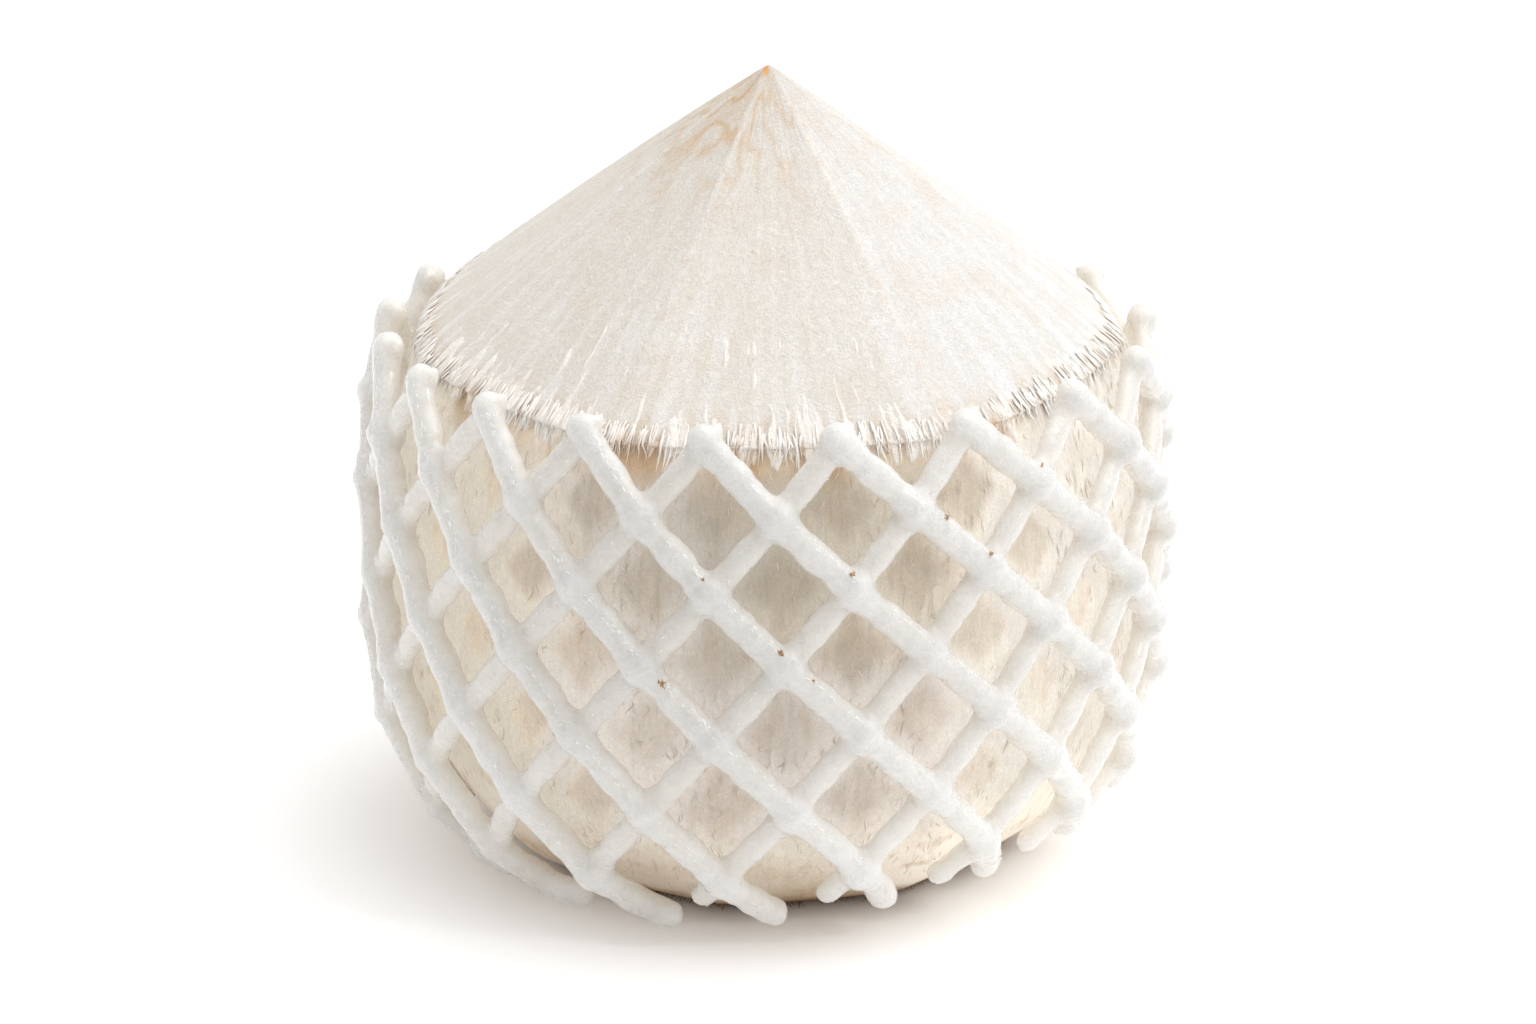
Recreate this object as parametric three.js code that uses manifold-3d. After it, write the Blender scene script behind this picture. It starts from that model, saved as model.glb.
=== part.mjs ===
// A trimmed young coconut standing in its foam net sleeve, in millimetres, +Z up.
// The origin is on the fruit's axis, at the flat cut that it stands on. The front is towards -Y.
import * as THREE from 'three';
import { mergeVertices } from 'three/addons/utils/BufferGeometryUtils.js';
import Module from 'manifold-3d';

const wasm = await Module();
wasm.setup();

// The fruit: a flat cut below, bulging sides, and a cone cut in facets above
const HEIGHT = 132.5;
const BASE_RADIUS = 39.5;
const GIRTH_RADIUS = 62.6;
const GIRTH_HEIGHT = 56;
const RIM_HEIGHT = 87.1;
const RIM_RADIUS = 59.4;

// How finely the fruit's outline is divided, and how near two corners are when they are one
const FRUIT_SEGMENTS = 80;
const LOWER_RINGS = 12;
const UPPER_RINGS = 7;
const CONE_RINGS = 9;
const LAST_CONE_RING = 0.6;
const OUTLINE_STEPS = 120;
const WELD = 1e-4;
const SAME_HEIGHT = 1e-3;
const AZIMUTH_STEP = 0.01;

// The sides' outline continues above the rim as the inner face of the sleeve
const SLEEVE_TOP_RADIUS = 56.4;
const SLEEVE_TOP_HEIGHT = 97;
const LOWER_BULGE = [[63.3, 10.6], [62.6, 32.3]];
const UPPER_BULGE = [[62.6, 72], [61, 84]];

// The cone falls by hypot(slope * r, tip) - tip + belly * r * r, so that its tip is a little blunt
const CONE_TIP = 1.7;
const CONE_BELLY = 0.0008;
const TIP_LEAN = 0.5;

// Each knife cut runs from one ridge to the next: 0 leaves it round, 1 cuts it flat
const CONE_CUTS = [
  { ridge: -72, flat: 0.5 }, { ridge: -24, flat: 0.48 }, { ridge: 30, flat: 0.38 }, { ridge: 84, flat: 0.35 },
  { ridge: 135, flat: 0.45 }, { ridge: 187, flat: 0.5 }, { ridge: 238, flat: 0.35 },
];

// The cone's cuts are flatter near the tip, by this share of what is left of them
const TIP_FLAT = 0.85;
const TIP_FLAT_RADII = [4, 46];

const FOOT_CUTS = Array.from({ length: 9 }, (_, i) => ({ ridge: -170 + i * 40, flat: 0.7 }));
const FOOT_CUT_HEIGHTS = [14, 36];
const SHOULDER_HEIGHTS = [62, 86];

// The cone's frayed edge stands a little proud of the sides and hangs down unevenly
const FRAY_OUT = 0.25;
const FRAY_SHADOW = 0.9;
const FRAY_HEIGHTS = [84.9, 86.2];
const FRAY_REACH = 1.5;
const FRAY_CLEARANCE = 2;

// The sleeve: two families of foam strands that lean opposite ways and are fused where they cross
const STRANDS = 18;
const ROWS = 6;
const SHEATH_GAP = 0.05;
const TOP_ROW_HEIGHT = 89.7;
const ROW_DROP = 11.75;
const ROW_DROP_GROWTH = 0.14;
const STRAND_FLOOR = 3.3;
const FLOOR_SOFTNESS = 2;
const OVER = {
  turn: 0.5, width: 2.8, depth: 2.55, sides: 5, lift: 3.7, sag: 0.45, start: -0.14, tail: 14.8, tailLean: -7,
};
const UNDER = {
  turn: -0.5, width: 2.5, depth: 2.05, sides: 5, lift: 2.3, sag: 0, start: -0.3, tail: 9.5, tailLean: 2.5,
};
const CROSSING_SWELL = 1.32;

// A strand's ends are rounded over END_ROWS rows, and lengths along it are measured in steps of WALK rows
const END_ROUNDING = 0.5;
const END_ROWS = 0.12;
const RING_ROWS = 0.5;
const WALK = 0.04;

// The sleeve is stretched over the fruit by hand, so it sits a little askew
const FIRST_STRAND = -0.101;
const TWIST = -0.073;
const SHIFT = {
  sine: 0.016, cosine: -0.027, sineGrowth: 0.059, cosineGrowth: 0.098, tails: 0.08, tailRows: 0.5,
};
const SAG = { sine: 2.4, cosine: -0.9, double: 1.1, sineGrowth: 2 };

// Its top edge droops where it passes round the sides, and the whole of it is pulled down at the back
const DROOP = { drop: 3.2, moreAtRight: 0.25, rows: 2, facing: [-0.8, 0.25] };
const BACK_PULL = { drop: 6, facing: [0.2, 1] };

const HUSK = new THREE.MeshStandardMaterial({ color: 0xe9ddca, roughness: 0.85, metalness: 0 });
const FOAM = new THREE.MeshStandardMaterial({ color: 0xf2f2f1, roughness: 0.55, metalness: 0 });

const radians = THREE.MathUtils.degToRad;
const smooth = (x, [from, to]) => THREE.MathUtils.smoothstep(x, from, to);
const point = ([x, y]) => new THREE.Vector2(x, y);

// The outline of the sides, as two curves that meet upright at the girth
const girth = new THREE.Vector2(GIRTH_RADIUS, GIRTH_HEIGHT);
const lowerSide = new THREE.CubicBezierCurve(
  point([BASE_RADIUS, 0]), ...LOWER_BULGE.map(point), girth,
);
const upperSide = new THREE.CubicBezierCurve(
  girth, ...UPPER_BULGE.map(point), point([SLEEVE_TOP_RADIUS, SLEEVE_TOP_HEIGHT]),
);
const sideLine = [...lowerSide.getPoints(OUTLINE_STEPS), ...upperSide.getPoints(OUTLINE_STEPS).slice(1)];

// The radius of the sides at a height, and how squarely they face outward there
function side(height) {
  const last = sideLine.length - 2;
  const found = sideLine.findIndex((p, i) => i <= last && sideLine[i + 1].y >= height);
  const at = found < 0 ? last : found;
  const [a, b] = [sideLine[at], sideLine[at + 1]];
  const step = b.clone().sub(a);
  return { radius: a.x + step.x * (height - a.y) / step.y, facing: step.y / step.length() };
}

// How far out the fruit reaches at an azimuth, against the round that its ridges lie on
function cutShare(cuts, azimuth, sharper = 0) {
  const turn = (to, from) => THREE.MathUtils.euclideanModulo(to - from, 360);
  const i = cuts.findIndex((cut, k) => {
    const next = cuts[(k + 1) % cuts.length].ridge;
    return turn(azimuth, cut.ridge) <= turn(next, cut.ridge);
  });
  const half = turn(cuts[(i + 1) % cuts.length].ridge, cuts[i].ridge) / 2;
  const off = turn(azimuth, cuts[i].ridge) - half;
  const chord = Math.cos(radians(half)) / Math.cos(radians(off));
  return THREE.MathUtils.lerp(1, chord, THREE.MathUtils.lerp(cuts[i].flat, 1, sharper));
}

function coneCut(azimuth, r) {
  return cutShare(CONE_CUTS, azimuth, TIP_FLAT * (1 - smooth(r, TIP_FLAT_RADII)));
}

const coneSlope = (() => {
  const fall = HEIGHT - RIM_HEIGHT + CONE_TIP - CONE_BELLY * RIM_RADIUS ** 2;
  return Math.sqrt(fall ** 2 - CONE_TIP ** 2) / RIM_RADIUS;
})();
const coneHeight = (r) => HEIGHT - Math.hypot(coneSlope * r, CONE_TIP) + CONE_TIP - CONE_BELLY * r * r;

// A steady stand-in for chance: the same number from 0 to 1 for the same place
const chance = (n) => THREE.MathUtils.euclideanModulo(Math.sin(n * 12.9898) * 43758.5453, 1);

function fruitProfile() {
  const sides = [...lowerSide.getPoints(LOWER_RINGS), ...upperSide.getPoints(UPPER_RINGS).slice(1)];
  const belowFray = sides.filter((p) => p.y < FRAY_HEIGHTS[0] - FRAY_CLEARANCE);
  const cone = Array.from({ length: CONE_RINGS + 1 }, (_, i) => {
    const r = RIM_RADIUS * (1 - i / (CONE_RINGS + LAST_CONE_RING));
    return new THREE.Vector2(r, coneHeight(r));
  });
  return [
    new THREE.Vector2(0, 0), ...belowFray,
    new THREE.Vector2(RIM_RADIUS - FRAY_SHADOW, FRAY_HEIGHTS[0]),
    new THREE.Vector2(RIM_RADIUS + FRAY_OUT, FRAY_HEIGHTS[1]),
    ...cone, new THREE.Vector2(0, HEIGHT),
  ];
}

// One point of the turned shape, moved to where the knife cuts and the fraying leave it
function trimmedPoint(r, z, azimuth) {
  if (z >= FRAY_HEIGHTS[0] - SAME_HEIGHT) {
    const hangs = z < RIM_HEIGHT - SAME_HEIGHT;
    const reach = hangs ? FRAY_REACH * chance(azimuth) : 0;
    return { r: r * coneCut(azimuth, r), z: z - reach };
  }
  const foot = THREE.MathUtils.lerp(cutShare(FOOT_CUTS, azimuth), 1, smooth(z, FOOT_CUT_HEIGHTS));
  const shoulder = THREE.MathUtils.lerp(1, coneCut(azimuth, RIM_RADIUS), smooth(z, SHOULDER_HEIGHTS));
  return { r: r * foot * shoulder, z };
}

// A geometry whose shared corners are one vertex each
function welded(geometry) {
  const bare = geometry.clone();
  bare.deleteAttribute('normal');
  bare.deleteAttribute('uv');
  return mergeVertices(bare, WELD);
}

function coconut() {
  const turned = welded(new THREE.LatheGeometry(fruitProfile(), FRUIT_SEGMENTS)).rotateX(Math.PI / 2);
  const corners = turned.attributes.position;
  for (let i = 0; i < corners.count; i += 1) {
    const [x, y] = [corners.getX(i), corners.getY(i)];
    const exact = THREE.MathUtils.radToDeg(Math.atan2(x, -y));
    const azimuth = Math.round(exact / AZIMUTH_STEP) * AZIMUTH_STEP;
    const moved = trimmedPoint(Math.hypot(x, y), corners.getZ(i), azimuth);
    const lean = TIP_LEAN * Math.max(0, moved.z - RIM_HEIGHT) / (HEIGHT - RIM_HEIGHT);
    const [sine, cosine] = [Math.sin(radians(azimuth)), Math.cos(radians(azimuth))];
    corners.setXYZ(i, moved.r * sine + lean, -moved.r * cosine, moved.z);
  }
  return turned;
}

// Strands that would sink into the surface below are bent to lie along it
function settled(height) {
  const above = (height - STRAND_FLOOR) / FLOOR_SOFTNESS;
  return STRAND_FLOOR + FLOOR_SOFTNESS * Math.log1p(Math.exp(above));
}

// Where the sleeve's surface is, `row` crossings down from the top edge and `column` strands round
function sleevePlace(row, column, lift) {
  const k = (row - ROWS / 2) / (ROWS / 2);
  const a = FIRST_STRAND + column * 2 * Math.PI / STRANDS + TWIST * k;
  const azimuth = a + (SHIFT.sine + SHIFT.sineGrowth * k) * Math.sin(a)
    + (SHIFT.cosine + SHIFT.cosineGrowth * k) * Math.cos(a)
    - SHIFT.tails * Math.max(0, row - ROWS + SHIFT.tailRows) ** 2 * Math.max(0, Math.sin(a));
  const backward = -Math.cos(azimuth);
  const pull = BACK_PULL.drop * smooth(backward, BACK_PULL.facing) * (1 - row / ROWS);
  const droop = DROOP.drop * smooth(backward, DROOP.facing) * (1 + DROOP.moreAtRight * Math.sin(azimuth))
    * Math.max(0, 1 - row / DROOP.rows) ** 2;
  const height = settled(
    TOP_ROW_HEIGHT - ROW_DROP * row - ROW_DROP_GROWTH * row * row - pull - droop
      + (SAG.sine + SAG.sineGrowth * k) * Math.sin(azimuth) + SAG.cosine * Math.cos(azimuth)
      + SAG.double * Math.cos(2 * azimuth),
  );
  const { radius, facing } = side(height);
  const r = radius + (SHEATH_GAP + lift) / facing;
  return new THREE.Vector3(r * Math.sin(azimuth), -r * Math.cos(azimuth), height);
}

// The outward direction square to the sleeve's surface at a place on it
function outward(place) {
  const { facing } = side(place.z);
  const down = Math.sqrt(1 - facing * facing) * Math.sign(place.z - GIRTH_HEIGHT);
  return new THREE.Vector3(place.x, place.y, 0).setLength(facing).setZ(down);
}

function strandPlace(family, index, row) {
  const lift = family.lift - family.sag * Math.sin(Math.PI * row) ** 2;
  return sleevePlace(row, index + family.turn * row, lift);
}

// The row where a strand is cut off, found by walking down its tail from the last crossing
function lastRow(family, index) {
  let place = strandPlace(family, index, ROWS);
  let left = family.tail + family.tailLean * place.x / Math.hypot(place.x, place.y);
  let row = ROWS;
  while (left > 0) {
    row += WALK;
    const next = strandPlace(family, index, row);
    left -= next.distanceTo(place);
    place = next;
  }
  return row;
}

// The rows at which a strand gets a ring: at each crossing and halfway between, and at its round ends
function strandRows(family, index) {
  const last = lastRow(family, index);
  const rows = [family.start, family.start + END_ROWS];
  for (let row = RING_ROWS; row < last - 2 * END_ROWS; row += RING_ROWS) {
    rows.push(row);
  }
  return [...rows, last - END_ROWS, last];
}

function strand(family, index) {
  const rows = strandRows(family, index);
  const tube = new THREE.CylinderGeometry(1, 1, rows.length - 1, family.sides, rows.length - 1);
  const rod = welded(tube);
  const corners = rod.attributes.position;
  for (let i = 0; i < corners.count; i += 1) {
    const ring = Math.round(corners.getY(i) + (rows.length - 1) / 2);
    const row = rows[ring];
    const place = strandPlace(family, index, row);
    const ahead = strandPlace(family, index, row + WALK).sub(place).normalize();
    const out = outward(place);
    const across = new THREE.Vector3().crossVectors(ahead, out).normalize();
    const inNet = row < ROWS + END_ROWS;
    const swell = inNet ? THREE.MathUtils.lerp(1, CROSSING_SWELL, Math.cos(Math.PI * row) ** 2) : 1;
    const atEnd = ring === 0 || ring === rows.length - 1;
    const size = atEnd ? END_ROUNDING : swell;
    place.addScaledVector(across, corners.getX(i) * family.width * size);
    place.addScaledVector(out, corners.getZ(i) * family.depth * Math.min(size, 1));
    corners.setXYZ(i, place.x, place.y, place.z);
  }
  return rod;
}

function toSolid(geometry) {
  const triVerts = new Uint32Array(geometry.index.array);
  const vertProperties = new Float32Array(geometry.attributes.position.array);
  return new wasm.Manifold(new wasm.Mesh({ numProp: 3, vertProperties, triVerts }));
}

function fromSolid(solid) {
  const { vertProperties, triVerts } = solid.getMesh();
  const geometry = new THREE.BufferGeometry();
  geometry.setAttribute('position', new THREE.BufferAttribute(vertProperties, 3));
  geometry.setIndex(new THREE.BufferAttribute(triVerts, 1));
  return geometry;
}

function foamNet() {
  const strands = [OVER, UNDER].flatMap((family) => (
    Array.from({ length: STRANDS }, (_, i) => toSolid(strand(family, i)))
  ));
  return fromSolid(wasm.Manifold.union(strands));
}

function named(name, geometry, material) {
  const shaded = geometry.clone();
  shaded.computeVertexNormals();
  const mesh = new THREE.Mesh(shaded, material);
  mesh.name = name;
  return mesh;
}

const group = new THREE.Group();
group.add(named('coconut', coconut(), HUSK), named('foam_net', foamNet(), FOAM));

export default group;
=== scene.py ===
"""A trimmed young coconut in its foam net sleeve, on a pale floor in soft light."""

import math

import bpy
import numpy as np
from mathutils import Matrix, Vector


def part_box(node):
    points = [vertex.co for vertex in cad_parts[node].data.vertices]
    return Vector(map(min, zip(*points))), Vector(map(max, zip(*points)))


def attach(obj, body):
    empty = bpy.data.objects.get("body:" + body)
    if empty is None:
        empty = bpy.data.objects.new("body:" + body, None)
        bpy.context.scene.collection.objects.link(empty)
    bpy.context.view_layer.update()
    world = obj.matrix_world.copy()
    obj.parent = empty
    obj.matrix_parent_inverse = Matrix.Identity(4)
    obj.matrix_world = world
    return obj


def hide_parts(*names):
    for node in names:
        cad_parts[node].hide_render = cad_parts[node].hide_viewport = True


MM = 0.001
SEED = 29

# The camera, from the photograph: its 1536 pixels are 36 mm of sensor
SENSOR = 36.0
FOCAL_PIXELS = 7335.0
FRAME_PIXELS = 1536.0
CAMERA_ELEVATION = math.radians(21.5)
CAMERA_DISTANCE = 1224.0
CAMERA_TARGET = (0.33, 0.0, 54.2)
CAMERA_REACH = (0.05, 50.0)

# The studio: pale panels above and around, and a large softbox high at the right
PANELS = (
    ((0, 0, 1), 1.14), ((1, 0, 0), 0.54), ((0, 1, 0), 0.54), ((-1, 0, 0), 0.2), ((0, -1, 0), 0.06),
)
KEY_TOWARDS = (0.38, 0.03, 0.82)
KEY_SPREAD = 60.0
KEY_STRENGTH = 1.4
GLINT_TOWARDS = (0.7, -0.35, 0.62)
GLINT_SPREAD = 5.0
GLINT_STRENGTH = 0.26
FLOOR_GLOW = 0.01
FLOOR_REACH = 6.0
WHITE = (1.0, 1.0, 1.0)

# The fruit's outline, as in the CAD source, in millimetres
BASE_RADIUS = 39.5
GIRTH = (62.6, 56.0)
RIM_HEIGHT = 87.1
RIM_RADIUS = 59.4
SLEEVE_TOP = (56.4, 97.0)
LOWER_BULGE = ((63.3, 10.6), (62.6, 32.3))
UPPER_BULGE = ((62.6, 72.0), (61.0, 84.0))
CONE_TIP = 0.35
CONE_BELLY = 0.0008
TIP_LEAN = 0.5
CONE_RIDGES = (-72.0, -24.0, 30.0, 84.0, 135.0, 187.0, 238.0)
CONE_FLATS = (0.5, 0.48, 0.38, 0.35, 0.45, 0.5, 0.35)
TIP_FLAT = 0.85
TIP_FLAT_RADII = (4.0, 46.0)
FOOT_RIDGES = tuple(-170.0 + 40.0 * i for i in range(9))
FOOT_FLATS = (0.7,) * len(FOOT_RIDGES)
FOOT_CUT_HEIGHTS = (14.0, 36.0)
SHOULDER_HEIGHTS = (62.0, 86.0)
RIM_DRAW = 0.5
RIM_DRAW_DEPTH = 4.0

# The sleeve: two families of foam strands, fused where they cross, as in the CAD source
STRANDS = 18
ROWS = 6
SHEATH_GAP = 0.05
TOP_ROW_HEIGHT = 89.7
ROW_DROP = 11.75
ROW_DROP_GROWTH = 0.14
STRAND_FLOOR = 3.3
FLOOR_SOFTNESS = 2.0
FIRST_STRAND = -0.101
TWIST = -0.073
SHIFT = {
    "sine": 0.016, "cosine": -0.027, "sine_growth": 0.059, "cosine_growth": 0.098,
    "tails": 0.08, "tail_rows": 0.5,
}
SAG = {"sine": 2.4, "cosine": -0.9, "double": 1.1, "sine_growth": 2.0}
DROOP = {"drop": 3.2, "more_at_right": 0.25, "rows": 2, "facing": (-0.8, 0.25)}
BACK_PULL = {"drop": 6.0, "facing": (0.2, 1.0)}
OVER = {
    "turn": 0.5, "width": 2.7, "depth": 2.5, "lift": 3.42, "sag": 0.45,
    "start": -0.14, "tail": 14.8, "tail_lean": -7.0, "lumps": 0.06, "crease": 0.1, "nub": 0.0,
}
UNDER = {
    "turn": -0.5, "width": 2.4, "depth": 1.85, "lift": 2.35, "sag": 0.0,
    "start": -0.26, "tail": 9.5, "tail_lean": 2.5, "lumps": 0.05, "crease": 0.06, "nub": 0.45,
}
KNOT = (3.5, 3.5, 3.25)
TOP_KNOT_ROW = -0.04
TOP_KNOT_SIZE = 0.87
KNOT_RAISED = 0.3
KNOT_VARIES = 0.06
ROW_LENGTH = 13.6
NOTCH = {"distance": 3.9, "width": 0.7, "depth": 0.1}
CREASE_STEPS = (4.6, 7.4)
CREASE_LEAD = 6.0
VOXEL = 0.72

# The strands' lumps: how many go round one, how long they are, and their share
LUMPS = ((3, 3.1, 0.6), (6, 1.4, 0.4))

# The dents in the foam's skin: how many go round the sleeve and up it, and their depth
SKIN_DENTS = ((300, 74, 0.06), (130, 32, 0.12))
SKIN_HEIGHT = 100.0

# The crossings that hold crumbs of husk: the row and the strand
CRUMBS = ((0.8, 2), (1.2, 1), (1.8, 0), (1.8, 1), (1.8, 17), (2.8, 17), (3.2, 16), (3.2, 17))

# The meshes' fineness
TURN_STEPS = 540
BASE_STEPS = 16
BASE_CENTRE = 1.5
LOWER_STEPS = 58
UPPER_STEPS = 44
CONE_STEPS = 84
TIP_CROWDING = 1.25
OUTLINE_STEPS = 160
STRAND_STEP = 0.045
SHORT_STEP = 0.05
TAIL_STEP = 0.02
LONGEST_TAIL = 3
STRAND_SIDES = 12
FRINGE_STEPS = 1600

# The fringe: its streaks and tufts run from one fall to another, in so many rings, and its fields have
# so many waves around and down, and a strength
FRINGE_STREAKS = (-24.0, -9.0, 16)
FRINGE_TUFTS = (-9.0, 5.6, 40)
FRINGE_THICKNESS = 1.2
FRINGE_ROOT = 0.35
FRINGE_BENDS = ((50, 8, 0.0014), (190, 18, 0.0005))
FRINGE_STRIPS = ((350, 5, 1.0), (800, 10, 0.5))
FRINGE_BUNCHES = ((44, 3, 1.0),)

# The loose fibres: how many, with how many points each, and their reaches in millimetres
RIM_FIBRES = {"points": (1900, 7), "up": (0.2, 3.0), "past": (-0.8, 1.4), "broad_past": (0.2, 3.6)}
SIDE_FIBRES = {"points": (4200, 6), "fall": (3, 78), "length": (0.8, 2.8)}
FOOT_FIBRES = {"points": (1500, 5), "length": (1.2, 4.2), "rise": (0.25, 1.6)}
CRUMB_FIBRES = {"points": (10, 5), "size": (0.45, 1.1), "corner": (-1.7, 1.0)}

# The painted glint beads on each strand: how many, how far aside as a share of its half width, and the
# spread
GLINT_BEADS = ((OVER, 130, 0.64, 0.07), (UNDER, 26, 0.2, 0.45))
GLINT_BEAD_LENGTH = (0.25, 0.9)


def linear(code):
    """A screen colour, such as "e8ddcb", as linear red, green and blue."""
    parts = np.array([int(code[i:i + 2], 16) for i in (0, 2, 4)]) / 255
    return np.where(parts <= 0.04045, parts / 12.92, ((parts + 0.055) / 1.055) ** 2.4)


CREAM = linear("dbd5cc")
IVORY = linear("e3dfda")
CUT_TAN = linear("cdad86")
TIP_ORANGE = linear("efb577")
RIM_BROWN = linear("b8966e")
SIDE_BEIGE = linear("ddd0bf")
SIDE_GREY = linear("ccbfae")
# The pale of the sides' painted light beside the net's strands, as light let through the foam
SIDE_LIGHT_THROUGH_NET = linear("f2e8db")
SIDE_LIMIT = linear("eee6da")
FOOT_CREAM = linear("f7eddd")
CURL_BROWN = linear("b08352")
SPECK_BROWN = linear("a5855c")
FOOT_BROWN = linear("ab8250")
FOAM_WHITE = linear("cdccca")
# The greyer tint of the foam's painted shade where it lies close to the fruit
FOAM_SHADE_TINT = linear("c7c2ba")
# The near-white of the beads that stand for the foam's glints, as painted highlights
GLINT_BEAD_WHITE = linear("f6f6f4")

# The orange drop at the tip, and the pale line along each of the cone's ridges, in millimetres
TIP_DROP = (-0.55, 0.95)
TIP_DROP_SIZE = (0.62, 1.2)
RIDGE_WIDTH = 0.8

# Where the rim is stained brown: the azimuth and half width of each stain, in degrees
STAINS = ((-57.0, 4.5), (-21.0, 6.0), (-3.0, 4.0), (9.0, 6.0), (39.0, 4.0))

# The net's light on the fruit: the gaps from a strand at which it is none and full, in millimetres
SHADE_RADIUS = 60.0
STRAND_SLANT = 0.76
SHADE_GAPS = (5.6, 2.3)
SHADE_TAIL = 0.8
SHADE_STEP = 0.12
SHADE_MARGIN = 2.0

# The random fields over the fruit: how many waves they have around it and along it
RELIEF_FIELDS = {
    "fibres": (270, 34), "waves": (26, 9), "chatter": (60, 26),
    "streaks": (240, 16), "grooves": (200, 13),
}
TONE_FIELDS = {
    "streak": (250, 12), "patch": (22, 10), "swirl": (30, 44), "curl": (64, 60), "squiggle": (170, 64),
}
FLECK_REPEATS = 3.1
CONE_GRAIN = 0.36
SIDE_GRAIN = 0.24

# How far each field raises the cone and the sides, in millimetres
CONE_RELIEF = {"fibres": 0.05, "waves": 0.08, "chatter": 0.04, "streaks": 0.08}
SIDE_RELIEF = {"fibres": 0.11, "waves": 0.25, "chatter": 0.12, "grooves": -0.45}

# Painted light and shade: changes of tone and of hue by side and height, which make each side of the
# fruit and of the foam lighter, darker, warmer or bluer as the studio's light falls on it. Each has the
# ramps that it fades over: a measure's name, where the ramp is 0, where it is 1, and the least it falls
# to if that isn't 0. Aside is the azimuth without its sign.
SIDE_TONE = 0.64
SIDE_PAINTED_LIGHT = (
    (0.24, ("rise", 74, 22)),
    (0.1, ("aside", 3, 17)),
    (0.46, ("azimuth", -14, -50)),
    (0.36, ("azimuth", 22, 37)),
    (-0.26, ("azimuth", 39, 52), ("rise", 60, 40)),
    (0.45, ("azimuth", 42, 54), ("azimuth", 78, 62, 0.5), ("rise", 40, 70)),
    (0.03, ("rise", 68, 54)),
)
FOAM_PAINTED_LIGHT = (
    (0.14, ("rise", 52, 14)),
    (0.08, ("azimuth", -20, -60)),
    (0.05, ("azimuth", -2, 14), ("azimuth", 58, 42)),
    (-0.03, ("azimuth", 55, 70)),
    (0.14, ("azimuth", 34, 54), ("lift", 5.4, 2.4)),
)
CONE_HUES = (
    ((0.0, 0.01, 0.03), ("azimuth", -30, 45)),
    ((-0.02, 0.0, 0.03), ("azimuth", 28, 34)),
)
SIDE_HUES = (
    ((-0.04, -0.075, -0.16), ("azimuth", -24, -46)),
    ((-0.03, -0.04, -0.07), ("azimuth", -14, -32), ("rise", 44, 26)),
    ((0.0, 0.01, -0.005), ("azimuth", 24, 40)),
    ((0.03, 0.01, -0.05), ("azimuth", -12, 4), ("azimuth", 40, 26), ("rise", 46, 62)),
)
COOLER = np.array([1.0, 1.01, 1.055])

# The materials' noises: scale, detail, roughness, bend, and for thin curling lines their width. The
# first two run along the husk's grain, and the others are over the object's place in metres.
HUSK_GRAINS = {"fibres": (1.3, 5.0, 0.65, 0.5), "threads": (3.6, 3.0, 0.6, 0.4)}
HUSK_NOISES = {
    "fuzz": (900.0, 3.0, 0.6), "clouds": (120.0, 4.0, 0.55),
    "curls": (420.0, 4.0, 0.6, 2.2, 0.07), "wool": (760.0, 3.0, 0.6, 3.0, 0.08),
}
FOAM_NOISES = {
    "cells": (1500.0, 3.0, 0.6), "grains": (520.0, 4.0, 0.6), "dents": (190.0, 3.0, 0.5),
    "clouds": (90.0, 3.0, 0.5), "wrinkles": (330.0, 3.0, 0.6, 1.6, 0.05),
}
FLOOR_GRIT = (260.0, 3.0, 0.5)

# What a noise does between two of its values: it runs from one tone, share or roughness to another
HUSK_SHADES = {
    "fibres": (0.3, 0.7, 0.93, 1.05), "threads": (0.3, 0.7, 0.94, 1.045),
    "curls": (0.0, 1.0, 0.98, 1.09), "wool": (0.0, 1.0, 0.985, 1.07),
}
HUSK_WARM = (0.5, 0.78, 0.0, 0.22)
HUSK_ROUGHNESS = (0.3, 0.7, 0.62, 0.85)

# The height of each bump in metres, and its strength
HUSK_BUMPS = {
    "fibres": (0.0005, 0.5), "curls": (0.0003, 0.4), "wool": (0.0001, 0.3),
    "threads": (0.00025, 0.4), "fuzz": (0.0001, 0.2),
}
HUSK_SOCKETS = {"Specular IOR Level": 0.28}

FOAM_SHADES = {"grains": (0.3, 0.7, 0.95, 1.02), "wrinkles": (0.0, 1.0, 0.975, 1.06)}
FOAM_MOTTLES = (0.35, 0.75, -0.8, 0.8)
# The painted shade on the foam: the lifts between which it fades, and its share at the lower and at the
# higher
FOAM_SHADE_SPAN = (2.2, 5.4, 0.75, 0.0)
FOAM_ROUGHNESS = (0.35, 0.65, 0.24, 0.45)
FOAM_BUMPS = {
    "dents": (0.0012, 0.5), "wrinkles": (0.0003, 0.4),
    "grains": (0.0006, 0.4), "cells": (0.0003, 0.35),
}
FOAM_SOCKETS = {
    "IOR": 1.36, "Specular IOR Level": 0.5,
    "Subsurface Weight": 1.0, "Subsurface Radius": (0.0065, 0.0063, 0.006), "Subsurface Scale": 1.0,
    "Coat Weight": 0.8, "Coat Roughness": 0.09, "Coat IOR": 1.4,
}

# The loose fibres and the foam's painted glint beads: a noise, its shade and roughness, and the specular
# level
FIBRE = ((700.0, 3.0, 0.6), (0.3, 0.7, 0.92, 1.05), (0.3, 0.7, 0.5, 0.75), 0.3)
GLINT_BEAD_PAINT = ((900.0, 2.0, 0.5), (0.3, 0.7, 0.9, 1.04), (0.3, 0.7, 0.2, 0.4), 0.5)

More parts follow.
